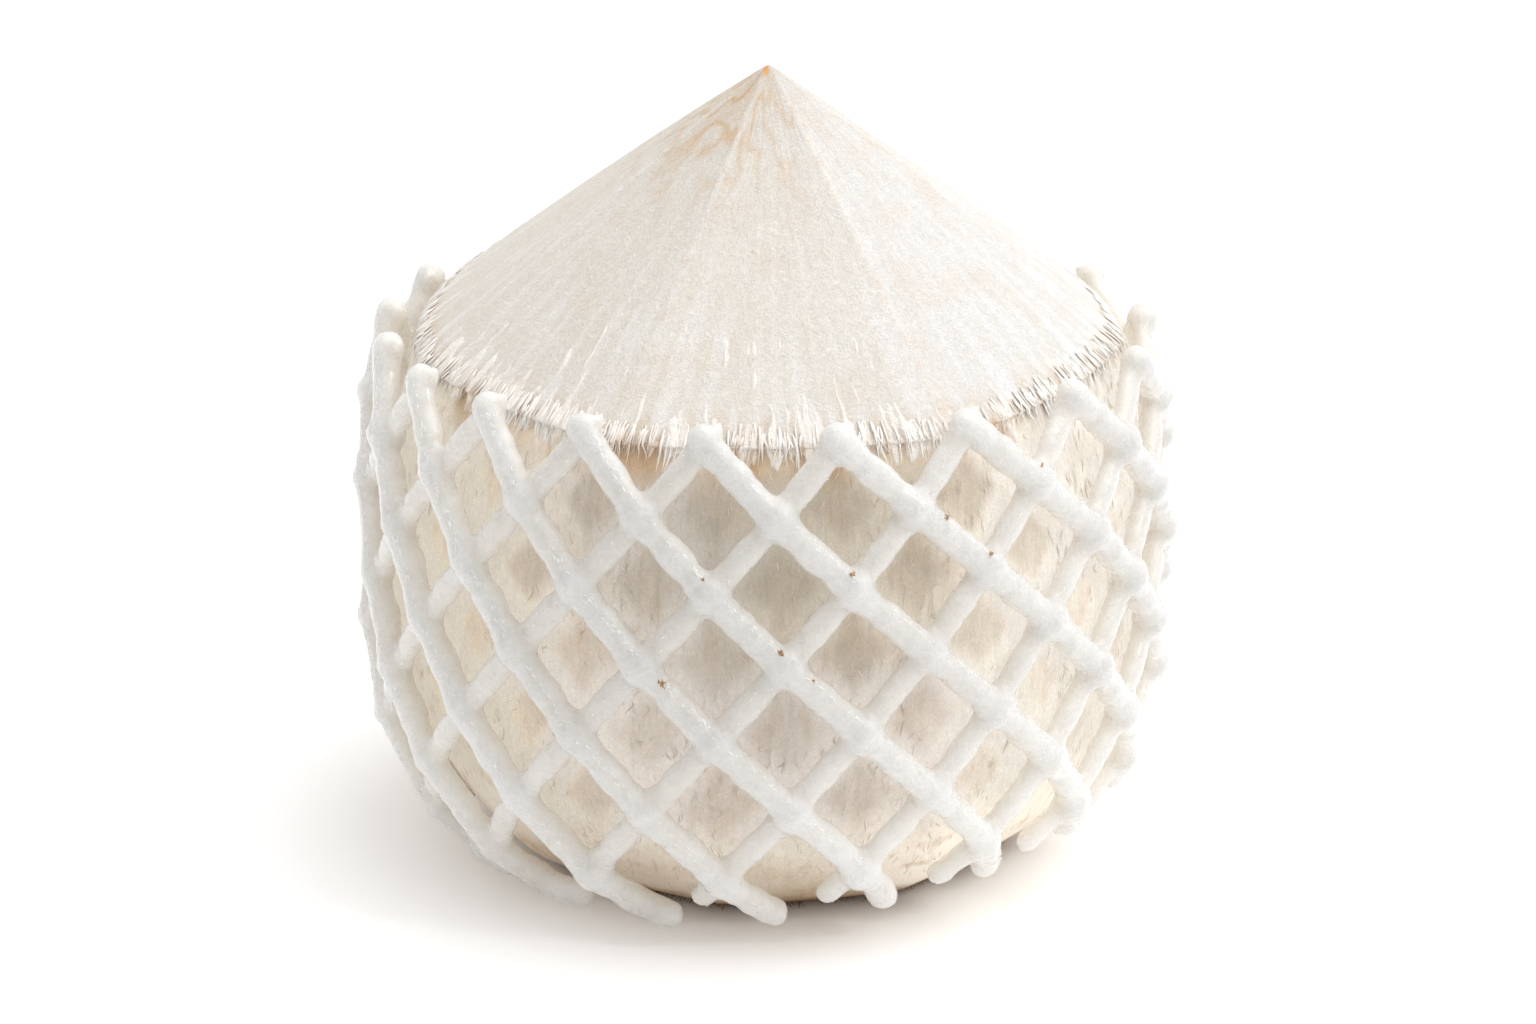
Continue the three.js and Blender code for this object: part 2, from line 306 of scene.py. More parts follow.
FLOOR_ROUGHNESS = (0.3, 0.7, 0.55, 0.7)
FLOOR_SOCKETS = {
    "Base Color": (0.94, 0.94, 0.94, 1.0), "Specular IOR Level": 0.2,
    "Emission Color": (*WHITE, 1.0), "Emission Strength": FLOOR_GLOW,
}


def smooth(x, start, end):
    """0 before start, 1 after end and an even rise between them; end may be the smaller of the two."""
    t = np.clip((np.asarray(x, float) - start) / (end - start), 0, 1)
    return t * t * (3 - 2 * t)


def ramped(here, ramps):
    """The product of ramps over the named measures of where each point is."""
    share = 1.0
    for name, start, end, *least in ramps:
        low = least[0] if least else 0.0
        share = share * (low + (1 - low) * smooth(here[name], start, end))
    return share


def toned(here, tones):
    """The sum of the changes of tone at each point."""
    return sum(amount * ramped(here, ramps) for amount, *ramps in tones)


def hued(colours, here, hues):
    """Colours whose red, green and blue are changed by each hue's shares, where its ramps are 1."""
    for hue, *ramps in hues:
        colours = colours * (1 + np.array(hue) * ramped(here, ramps)[..., None])
    return colours


def mix(a, b, share):
    """Colours a turned into b by share, for each point."""
    share = np.asarray(share)[..., None]
    return a * (1 - share) + b * share


def wander(rng, around, along):
    """A smooth random function from -1 to 1 of turn, which wraps at 1, and of rise from 0 to 1."""
    grid = rng.uniform(-1, 1, (around, along + 2))

    def at(turn, rise):
        x = np.asarray(turn, float) % 1 * around
        y = np.clip(rise, 0, 1) * along
        i = np.floor(x).astype(int)
        j = np.floor(y).astype(int)
        u = smooth(x - i, 0, 1)
        v = smooth(y - j, 0, 1)
        i0, i1 = i % around, (i + 1) % around
        low = grid[i0, j] * (1 - u) + grid[i1, j] * u
        high = grid[i0, j + 1] * (1 - u) + grid[i1, j + 1] * u
        return low * (1 - v) + high * v
    return at


def layered(rng, layers, turn, rise):
    """The sum of random fields, each given as its waves around and along, and its strength."""
    return sum(strength * wander(rng, around, along)(turn, rise) for around, along, strength in layers)


def each(rng, count, low, high):
    """A random number for each of count things, as a column."""
    return rng.uniform(low, high, (count, 1))


def bell(x, middle, width):
    """1 at the middle, and fading away on both sides of it."""
    return np.exp(-((x - middle) / width) ** 2)


def bezier(a, b, c, d, count):
    t = np.linspace(0, 1, count)[:, None]
    a, b, c, d = (np.array(p, float) for p in (a, b, c, d))
    s = 1 - t
    return s ** 3 * a + 3 * s * s * t * b + 3 * s * t * t * c + t ** 3 * d


LOWER_SIDE = bezier((BASE_RADIUS, 0), *LOWER_BULGE, GIRTH, OUTLINE_STEPS)
UPPER_SIDE = bezier(GIRTH, *UPPER_BULGE, SLEEVE_TOP, OUTLINE_STEPS)
SIDE_LINE = np.concatenate([LOWER_SIDE, UPPER_SIDE[1:]])
SIDE_SLOPE = np.gradient(SIDE_LINE[:, 0], SIDE_LINE[:, 1])


def around_axis(azimuth, radius, height):
    """Places at azimuths in radians, which are 0 at the front and grow to the right."""
    return np.stack([radius * np.sin(azimuth), -radius * np.cos(azimuth), height], -1)


def azimuth_of(places):
    """The azimuth of each place, in degrees."""
    return np.degrees(np.arctan2(places[..., 0], -places[..., 1]))


def side_radius(height):
    return np.interp(height, SIDE_LINE[:, 1], SIDE_LINE[:, 0])


def side_reach(height):
    """The fruit's own side, which draws in a little under the rim."""
    return side_radius(height) - RIM_DRAW * smooth(height, RIM_HEIGHT - RIM_DRAW_DEPTH, RIM_HEIGHT)


def side_facing(height):
    """How squarely the sides face outward at a height."""
    return 1 / np.hypot(1, np.interp(height, SIDE_LINE[:, 1], SIDE_SLOPE))


def cut_share(ridges, flats, azimuth, sharper=0.0):
    """How far out a faceted turning reaches at an azimuth in degrees, as a share of its ridges' reach."""
    turn = (np.asarray(azimuth, float) - ridges[0]) % 360
    starts = (np.array(ridges) - ridges[0]) % 360
    widths = np.diff(np.append(starts, 360.0))
    i = np.searchsorted(starts, turn, side="right") - 1
    half = np.radians(widths[i] / 2)
    off = np.radians(turn - starts[i]) - half
    flat = np.array(flats)[i]
    flat = flat + (1 - flat) * sharper
    return 1 + (np.cos(half) / np.cos(off) - 1) * flat


def cone_cut(azimuth, radius):
    """The cone's facets, which are cut flatter near the tip."""
    sharper = TIP_FLAT * (1 - smooth(radius, *TIP_FLAT_RADII))
    return cut_share(CONE_RIDGES, CONE_FLATS, azimuth, sharper)


def cone_slope(height):
    fall = height - RIM_HEIGHT + CONE_TIP - CONE_BELLY * RIM_RADIUS ** 2
    return math.sqrt(fall ** 2 - CONE_TIP ** 2) / RIM_RADIUS


def cone_height(radius, height):
    """How high the uncut cone is at a radius."""
    return height - np.hypot(cone_slope(height) * radius, CONE_TIP) + CONE_TIP - CONE_BELLY * radius ** 2


def put(name, data):
    """A new object in the scene."""
    thing = bpy.data.objects.new(name, data)
    bpy.context.scene.collection.objects.link(thing)
    return thing


def mesh_piece(name, points, faces, material, colours=None, grain=None):
    """A shaded mesh from points in millimetres, riding on the fruit's body."""
    mesh = bpy.data.meshes.new(name)
    flat = np.asarray(points, float).reshape(-1, 3)
    mesh.from_pydata((flat * MM).tolist(), [], faces)
    mesh.polygons.foreach_set("use_smooth", [True] * len(mesh.polygons))
    if colours is not None:
        paint = mesh.attributes.new("paint", "FLOAT_COLOR", "POINT")
        whole = np.concatenate([colours.reshape(-1, 3), np.ones((len(flat), 1))], 1)
        paint.data.foreach_set("color", whole.ravel())
    if grain is not None:
        lay = mesh.attributes.new("grain", "FLOAT_VECTOR", "POINT")
        lay.data.foreach_set("vector", grain.reshape(-1, 3).ravel())
    mesh.update()
    mesh.materials.append(material)
    piece = put(name, mesh)
    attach(piece, "root")
    return piece


# Material building


def new_material(name):
    material = bpy.data.materials.new(name)
    material.use_nodes = True
    tree = material.node_tree
    return material, tree, tree.nodes["Principled BSDF"]


def set_sockets(shader, values):
    for name, value in values.items():
        shader.inputs[name].default_value = value


def attribute(tree, name, output):
    node = tree.nodes.new("ShaderNodeAttribute")
    node.attribute_name = name
    return node.outputs[output]


def object_place(tree):
    return tree.nodes.new("ShaderNodeTexCoord").outputs["Object"]


def calculated(tree, operation, a, b=None):
    """A math node on a socket, and on a number or a second socket if there is one."""
    node = tree.nodes.new("ShaderNodeMath")
    node.operation = operation
    tree.links.new(a, node.inputs[0])
    if isinstance(b, float):
        node.inputs[1].default_value = b
    elif b is not None:
        tree.links.new(b, node.inputs[1])
    return node.outputs[0]


def noise(tree, vector, scale, detail, roughness, bend=0.0, vein=None):
    """A noise's value, or with vein 1 along thin curling lines of that width and 0 away from them."""
    node = tree.nodes.new("ShaderNodeTexNoise")
    set_sockets(node, {"Scale": scale, "Detail": detail, "Roughness": roughness, "Distortion": bend})
    tree.links.new(vector, node.inputs["Vector"])
    if vein is None:
        return node.outputs["Fac"]
    offset = calculated(tree, "SUBTRACT", node.outputs["Fac"], 0.5)
    return remap(tree, calculated(tree, "ABSOLUTE", offset), 0.0, vein, 1.0, 0.0)


def noises(tree, vector, table):
    return {name: noise(tree, vector, *settings) for name, settings in table.items()}


def remap(tree, value, low, high, out_low, out_high):
    node = tree.nodes.new("ShaderNodeMapRange")
    set_sockets(node, {"From Min": low, "From Max": high, "To Min": out_low, "To Max": out_high})
    tree.links.new(value, node.inputs["Value"])
    return node.outputs["Result"]


def tinted(tree, colour, share, tint):
    """colour, mixed with tint by the linked share."""
    node = tree.nodes.new("ShaderNodeMix")
    node.data_type = "RGBA"
    tree.links.new(share, node.inputs["Factor"])
    tree.links.new(colour, node.inputs["A"])
    node.inputs["B"].default_value = (*tint, 1.0)
    return node.outputs["Result"]


def scaled(tree, colour, value):
    """colour times a linked grey value."""
    node = tree.nodes.new("ShaderNodeVectorMath")
    node.operation = "SCALE"
    tree.links.new(colour, node.inputs[0])
    tree.links.new(value, node.inputs["Scale"])
    return node.outputs["Vector"]


def shaded(tree, colour, fields, shades):
    """colour, made darker and lighter by each named noise."""
    for name, spans in shades.items():
        colour = scaled(tree, colour, remap(tree, fields[name], *spans))
    return colour


def bumped(tree, shader, fields, bumps):
    """Stacks a bump for each named noise."""
    last = None
    for name, (distance, strength) in bumps.items():
        bump = tree.nodes.new("ShaderNodeBump")
        set_sockets(bump, {"Distance": distance, "Strength": strength})
        tree.links.new(fields[name], bump.inputs["Height"])
        if last is not None:
            tree.links.new(last, bump.inputs["Normal"])
        last = bump.outputs["Normal"]
    tree.links.new(last, shader.inputs["Normal"])


def dressed(tree, shader, colour, gloss, sockets):
    tree.links.new(colour, shader.inputs["Base Color"])
    tree.links.new(gloss, shader.inputs["Roughness"])
    set_sockets(shader, sockets)


def husk_material():
    """Cut husk: painted tones, with fine fibres that run from the tip down to the foot."""
    material, tree, shader = new_material("husk_cut")
    fields = noises(tree, attribute(tree, "grain", "Vector"), HUSK_GRAINS)
    fields.update(noises(tree, object_place(tree), HUSK_NOISES))
    colour = shaded(tree, attribute(tree, "paint", "Color"), fields, HUSK_SHADES)
    colour = tinted(tree, colour, remap(tree, fields["clouds"], *HUSK_WARM), CUT_TAN)
    dressed(tree, shader, colour, remap(tree, fields["threads"], *HUSK_ROUGHNESS), HUSK_SOCKETS)
    bumped(tree, shader, fields, HUSK_BUMPS)
    return material


def painted_material(name, grit, shade, roughness, specular):
    """The painted tone, with a fine change of tone and of gloss along each fibre or painted glint bead.
    """
    material, tree, shader = new_material(name)
    field = noise(tree, object_place(tree), *grit)
    colour = scaled(tree, attribute(tree, "paint", "Color"), remap(tree, field, *shade))
    dressed(tree, shader, colour, remap(tree, field, *roughness), {"Specular IOR Level": specular})
    return material


def foam_material():
    """White foam that light soaks into, with a fine skin that glints in places; it is painted greyer
    where it lies close to the fruit as painted shade, and lighter or darker by side and height as painted
    light and shade.
    """
    material, tree, shader = new_material("white_foam")
    fields = noises(tree, object_place(tree), FOAM_NOISES)
    pure = tree.nodes.new("ShaderNodeRGB").outputs[0]
    pure.default_value = (*FOAM_WHITE, 1.0)
    colour = shaded(tree, pure, fields, FOAM_SHADES)
    mottles = remap(tree, fields["clouds"], *FOAM_MOTTLES)
    lift = calculated(tree, "ADD", attribute(tree, "lift", "Fac"), mottles)
    # Painted shade: greyer and warmer where the foam lies close to the fruit, which also stands in for
    # the fruit showing through
    colour = tinted(tree, colour, remap(tree, lift, *FOAM_SHADE_SPAN), FOAM_SHADE_TINT)
    # Painted light and shade: the tone attribute makes the foam lighter or darker by side and height
    colour = scaled(tree, colour, attribute(tree, "tone", "Fac"))
    dressed(tree, shader, colour, remap(tree, fields["grains"], *FOAM_ROUGHNESS), FOAM_SOCKETS)
    bumped(tree, shader, fields, FOAM_BUMPS)
    return material


def floor_material():
    material, tree, shader = new_material("pale_floor")
    grit = noise(tree, object_place(tree), *FLOOR_GRIT)
    tree.links.new(remap(tree, grit, *FLOOR_ROUGHNESS), shader.inputs["Roughness"])
    set_sockets(shader, FLOOR_SOCKETS)
    return material


# The sleeve's geometry


def settled(height):
    """Strands that would sink into the floor are bent to lie along it."""
    return STRAND_FLOOR + FLOOR_SOFTNESS * np.log1p(np.exp((height - STRAND_FLOOR) / FLOOR_SOFTNESS))


def sleeve_place(row, column, lift):
    """The place `row` crossings down and `column` strands round, `lift` millimetres off the fruit."""
    row = np.asarray(row, float)
    k = (row - ROWS / 2) / (ROWS / 2)
    a = FIRST_STRAND + column * 2 * math.pi / STRANDS + TWIST * k
    azimuth = a + (SHIFT["sine"] + SHIFT["sine_growth"] * k) * np.sin(a)
    azimuth = azimuth + (SHIFT["cosine"] + SHIFT["cosine_growth"] * k) * np.cos(a)
    past = np.maximum(0, row - ROWS + SHIFT["tail_rows"])
    azimuth = azimuth - SHIFT["tails"] * past ** 2 * np.maximum(0, np.sin(a))
    pull = BACK_PULL["drop"] * smooth(-np.cos(azimuth), *BACK_PULL["facing"]) * (1 - row / ROWS)
    droop = DROOP["drop"] * smooth(-np.cos(azimuth), *DROOP["facing"])
    droop = droop * (1 + DROOP["more_at_right"] * np.sin(azimuth))
    droop = droop * np.maximum(0, 1 - row / DROOP["rows"]) ** 2
    height = TOP_ROW_HEIGHT - ROW_DROP * row - ROW_DROP_GROWTH * row * row - pull - droop
    height = height + (SAG["sine"] + SAG["sine_growth"] * k) * np.sin(azimuth)
    height = height + SAG["cosine"] * np.cos(azimuth) + SAG["double"] * np.cos(2 * azimuth)
    height = settled(height)
    r = side_radius(height) + (SHEATH_GAP + lift) / side_facing(height)
    return around_axis(azimuth, r, height)


def strand_line(family, index, rows):
    lift = family["lift"] - family["sag"] * np.sin(math.pi * rows) ** 2
    return sleeve_place(rows, index + family["turn"] * rows, lift)


def walked_along(line):
    """How far it is to each point of a line from its start."""
    return np.concatenate([[0], np.cumsum(np.linalg.norm(np.diff(line, axis=0), axis=1))])


def strand_rows(family, index):
    """Even steps from the strand's top end to where its tail is cut off."""
    rows = np.arange(ROWS, ROWS + LONGEST_TAIL, TAIL_STEP)
    line = strand_line(family, index, rows)
    walked = walked_along(line)
    start = line[0]
    tail = family["tail"] + family["tail_lean"] * start[0] / math.hypot(start[0], start[1])
    last = float(np.interp(tail, walked, rows))
    count = int(round((last - family["start"]) / STRAND_STEP))
    return np.linspace(family["start"], last, count)


def outward(places):
    """Unit vectors square to the sleeve's surface."""
    facing = side_facing(places[:, 2])
    level = places[:, :2] / np.linalg.norm(places[:, :2], axis=1)[:, None] * facing[:, None]
    tip = np.sqrt(np.maximum(0, 1 - facing ** 2)) * np.sign(places[:, 2] - GIRTH[1])
    return np.concatenate([level, tip[:, None]], 1)


def unit(vectors):
    return vectors / np.linalg.norm(vectors, axis=-1, keepdims=True)


def beads(rng, walked):
    """0 at creases about 6 mm apart along a strand, and 1 midway between them."""
    count = int(walked[-1] / CREASE_STEPS[0]) + 3
    creases = np.cumsum(rng.uniform(*CREASE_STEPS, count)) - CREASE_LEAD
    i = np.clip(np.searchsorted(creases, walked) - 1, 0, len(creases) - 2)
    share = (walked - creases[i]) / (creases[i + 1] - creases[i])
    return np.clip(1 - (2 * share - 1) ** 2, 0, 1) ** 0.5


def foam_strand(rng, family, index):
    """One lumpy round-ended strand: its points and faces."""
    rows = strand_rows(family, index)
    line = strand_line(family, index, rows)
    walked = walked_along(line)
    ahead = unit(np.gradient(line, axis=0))
    out = outward(line)
    across = unit(np.cross(ahead, out))
    out = np.cross(across, ahead)
    ends = np.minimum(walked, walked[-1] - walked) / family["width"]
    cap = np.sqrt(np.clip(1 - (1 - np.minimum(ends, 1)) ** 2, 0.02, 1))
    angle = np.arange(STRAND_SIDES) * 2 * math.pi / STRAND_SIDES
    rise = (walked / walked[-1])[:, None]
    turn = (angle / (2 * math.pi))[None, :]
    size = 1
    for around, length, share in LUMPS:
        size = size + family["lumps"] * share * wander(rng, around, int(walked[-1] / length))(turn, rise)
    creased = 1 - family["crease"] * (1 - beads(rng, walked))
    to_pad = np.abs(rows - np.round(rows)) * ROW_LENGTH
    creased = creased - NOTCH["depth"] * bell(to_pad, NOTCH["distance"], NOTCH["width"])
    narrow = 1 - family["nub"] * smooth(-rows, 0.02, 0.18)
    size = size * (creased * narrow * cap)[:, None]
    ring = (across[:, None] * (family["width"] * size * np.cos(angle))[..., None]
            + out[:, None] * (family["depth"] * size * np.sin(angle))[..., None])
    return line[:, None] + ring


def tube_faces(rings, sides, first):
    """Quads of a tube, and a face on each end, that start at corner number first."""
    faces = []
    for i in range(rings - 1):
        for j in range(sides):
            a = first + i * sides + j
            b = first + i * sides + (j + 1) % sides
            faces.append((a, a + sides, b + sides, b))
    faces.append(tuple(first + j for j in range(sides)))
    faces.append(tuple(first + (rings - 1) * sides + j for j in reversed(range(sides))))
    return faces


def ring_quads(rings, sides, wrap):
    """Quads from each ring of corners to the next, and from the last to the first if they wrap."""
    faces = []
    for i in range(rings if wrap else rings - 1):
        a, b = i * sides, (i + 1) % rings * sides
        faces.extend((a + j, a + (j + 1) % sides, b + (j + 1) % sides, b + j) for j in range(sides))
    return faces


def ball(centre, axes, sizes, rings=7, sides=12):
    """An ellipsoid as a closed tube whose end rings are tiny."""
    rise = np.linspace(-0.98, 0.98, rings)
    angle = np.arange(sides) * 2 * math.pi / sides
    level = np.sqrt(1 - rise ** 2)
    points = (axes[2] * (rise * sizes[2])[:, None, None]
              + axes[0] * (level[:, None] * np.cos(angle) * sizes[0])[..., None]
              + axes[1] * (level[:, None] * np.sin(angle) * sizes[1])[..., None])
    return centre + points


def foam_net(rng, material):
    """Both families of strands and the knots where they cross, fused into one skin."""
    shapes = [foam_strand(rng, family, index) for family in (OVER, UNDER) for index in range(STRANDS)]
    lift = (OVER["lift"] + UNDER["lift"]) / 2 + KNOT_RAISED
    for row in range(ROWS + 1):
        for index in range(STRANDS):
            at = row if row > 0 else TOP_KNOT_ROW
            column = index + OVER["turn"] * at
            centre = sleeve_place([at], column, lift)
            ahead = unit(sleeve_place([at + SHORT_STEP], column, lift) - centre)[0]
            out = outward(centre)[0]
            across = unit(np.cross(ahead, out))
            grow = (1 if row > 0 else TOP_KNOT_SIZE) + KNOT_VARIES * rng.uniform(-1, 1)
            shapes.append(ball(centre[0], (across, ahead, out), [s * grow for s in KNOT]))
    faces, count = [], 0
    for shape in shapes:
        faces.extend(tube_faces(*shape.shape[:2], count))
        count += shape.shape[0] * shape.shape[1]
    points = np.concatenate([shape.reshape(-1, 3) for shape in shapes])
    net = mesh_piece("foam_sleeve", points, faces, material)
    fuse(net, VOXEL)
    roughen(rng, net)
    net.visible_diffuse = False
    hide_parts("foam_net")


def apply_modifier(piece, kind, **settings):
    modifier = piece.modifiers.new(kind.lower(), kind)
    for key, value in settings.items():
        setattr(modifier, key, value)
    bpy.context.view_layer.objects.active = piece
    piece.select_set(True)
    bpy.ops.object.modifier_apply(modifier=modifier.name)
    piece.select_set(False)


def fuse(piece, voxel):
    apply_modifier(piece, "REMESH", mode="VOXEL", voxel_size=voxel * MM, use_smooth_shade=True)
    apply_modifier(piece, "SMOOTH", factor=0.5, iterations=1)


def roughen(rng, piece):
    """Small dents all over the foam's skin, kept inside the CAD node's box, and its tones, which are
    painted light and shade by side and height.
    """
    mesh = piece.data
    places = np.zeros(len(mesh.vertices) * 3)
    normals = np.zeros(len(mesh.vertices) * 3)
    mesh.vertices.foreach_get("co", places)
    mesh.vertices.foreach_get("normal", normals)
    places = places.reshape(-1, 3) / MM
    turn = azimuth_of(places) / 360
    rise = places[:, 2] / SKIN_HEIGHT
    dents = layered(rng, SKIN_DENTS, turn, rise)
    places = places + normals.reshape(-1, 3) * dents[:, None]
    lift = (np.hypot(places[:, 0], places[:, 1]) - side_radius(places[:, 2])) * side_facing(places[:, 2])
    here = {"azimuth": azimuth_of(places), "rise": places[:, 2], "lift": lift}
    # The tone is painted light and shade: the foam lighter low down, at the left and beside the fruit at
    # the right, and darker at the far right
    for name, values in (("lift", lift), ("tone", 1 + toned(here, FOAM_PAINTED_LIGHT))):
        mesh.attributes.new(name, "FLOAT", "POINT").data.foreach_set("value", values.astype(np.float32))
    low, high = (np.array(corner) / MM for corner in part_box("foam_net"))
    mesh.vertices.foreach_set("co", (np.clip(places, low, high) * MM).ravel())
    mesh.update()


# The fruit's geometry


def fruit_profile(height):
    """Rings from the middle of the base to the tip: radius, height, and 1 on the cone."""
    base = np.linspace(BASE_CENTRE, BASE_RADIUS, BASE_STEPS)[:-1]
    lower = bezier((BASE_RADIUS, 0), *LOWER_BULGE, GIRTH, LOWER_STEPS)
    upper = bezier(GIRTH, *UPPER_BULGE, SLEEVE_TOP, UPPER_STEPS)[1:]
    sides = np.concatenate([lower, upper])
    sides = sides[sides[:, 1] < RIM_HEIGHT - 1]
    share = (np.linspace(1, 0, CONE_STEPS + 1)[:-1] ** TIP_CROWDING)[1:]
    r = RIM_RADIUS * share
    z = cone_height(r, height)
    radius = np.concatenate([base, side_reach(sides[:, 1]), r])
    rise = np.concatenate([np.zeros(len(base)), sides[:, 1], z])
    cone = np.concatenate([np.zeros(len(base) + len(sides)), np.ones(len(share))])
    return radius, rise, cone


def fruit_shape(radius, rise, cone, azimuth):
    """The radius of each ring at each azimuth once the knife cuts are made."""
    foot = cut_share(FOOT_RIDGES, FOOT_FLATS, azimuth)
    foot = foot + (1 - foot) * smooth(rise, *FOOT_CUT_HEIGHTS)
    shoulder = 1 + (cone_cut(azimuth, RIM_RADIUS) - 1) * smooth(rise, *SHOULDER_HEIGHTS)
    return radius * np.where(cone > 0, cone_cut(azimuth, radius), foot * shoulder)


def strand_shade(azimuth, rise):
    """0 in the middle of a net window and 1 beside or under a strand, from the strands' own lines; the
    sides are painted lighter there, as painted light let through the foam.
    """
    near = np.full(azimuth.shape, np.inf)
    across = math.radians(1) * SHADE_RADIUS * STRAND_SLANT
    for family in (OVER, UNDER):
        for index in range(STRANDS):
            line = strand_line(family, index, np.arange(family["start"], ROWS + SHADE_TAIL, SHADE_STEP))
            turn = np.unwrap(azimuth_of(line), period=360)
            order = np.argsort(line[:, 2])
            at = np.interp(rise, line[order, 2], turn[order])
            gap = np.abs((azimuth - at + 180) % 360 - 180) * across
            inside = (rise > line[:, 2].min() - SHADE_MARGIN) & (rise < line[:, 2].max() + SHADE_MARGIN)
            near = np.where(inside, np.minimum(near, gap), near)
    return smooth(near, *SHADE_GAPS)


def fruit_relief(rng, turn, rise, cone, radius, height):
    """How far fibres and the knife's marks raise the surface, in millimetres."""
    here = {name: wander(rng, *size)(turn, rise / height) for name, size in RELIEF_FIELDS.items()}
    here["streaks"] = np.maximum(0, here["streaks"]) * smooth(radius, 30, 57)
    here["grooves"] = np.maximum(0, here["grooves"] - 0.3)
    on_cone = sum(here[name] * depth for name, depth in CONE_RELIEF.items())
    on_side = sum(here[name] * depth for name, depth in SIDE_RELIEF.items())
    on_cone = on_cone * smooth(radius, 2, 16)
    on_side = on_side * smooth(rise, 0.4, 5) * (1 - 0.75 * smooth(rise, 77, 85))
    return np.where(cone > 0, on_cone, on_side)


def ridge_nearness(azimuth, ridge, radius, width):
    """1 on the line of one of the cone's ridges, 0 more than width millimetres from it."""
    gap = np.abs((azimuth - ridge + 180) % 360 - 180)
    return 1 - smooth(np.radians(gap) * radius, 0.15 * width, width)


def stained(azimuth):
    """1 in the middle of each brown stain along the rim, 0 between them."""
    share = np.zeros(azimuth.shape)
    for middle, half in STAINS:
        share = np.maximum(share, 1 - smooth(np.abs(azimuth - middle), 0.3 * half, half))
    return share


def cone_colours(here):
    """The cone: cream fibres, tan mottling near the orange tip, pale ridges and a ragged brown rim."""
    azimuth, radius, streak, patch = (here[name] for name in ("azimuth", "radius", "streak", "patch"))
    colours = mix(CREAM, IVORY, smooth(streak, -0.2, 0.9) * (0.35 + 0.6 * smooth(radius, 25, 55)))
    mottled = smooth(radius, 33, 7) * smooth(np.abs(here["swirl"] + 0.5 * here["curl"]), 0.4, 0.04)
    at_left = smooth(azimuth, 6, -34) * (azimuth > -110)
    at_right = smooth(azimuth, 22, 40)
    tanned = smooth(radius, 22, 4) * (0.06 + 0.26 * at_left) * (1 - 0.6 * at_right)
    mottled = mottled * (0.36 + 0.28 * at_left) * (1 - 0.5 * at_right)
    colours = mix(colours, CUT_TAN, np.clip(mottled + tanned, 0, 1))
    # Painted light: the cone's hue changed by side, as the light falls on it
    colours = hued(colours, here, CONE_HUES)
    flecks = smooth(here["flecks"], 0.1, 0.6)
    for ridge in CONE_RIDGES:
        near = ridge_nearness(azimuth, ridge, radius, RIDGE_WIDTH)
        colours = mix(colours, IVORY, near * 0.8)
        colours = mix(colours, CUT_TAN, near * flecks * 0.3)
    aside = (radius * np.sin(np.radians(azimuth)) - TIP_DROP[0]) / TIP_DROP_SIZE[0]
    ahead = (radius * np.cos(np.radians(azimuth)) - TIP_DROP[1]) / TIP_DROP_SIZE[1]
    colours = mix(colours, TIP_ORANGE, smooth(np.hypot(aside, ahead), 1.3, 0.5))
    edge = smooth(radius - (RIM_RADIUS - 3.2 + 1.6 * streak + 1.4 * patch), -1.2, 1.2)
    colours = mix(colours, CUT_TAN, edge * (0.25 + 0.3 * smooth(patch, -0.4, 0.8)))
    return mix(colours, RIM_BROWN, edge * smooth(streak + 0.7 * patch, 0.35, 0.9) * 0.5)


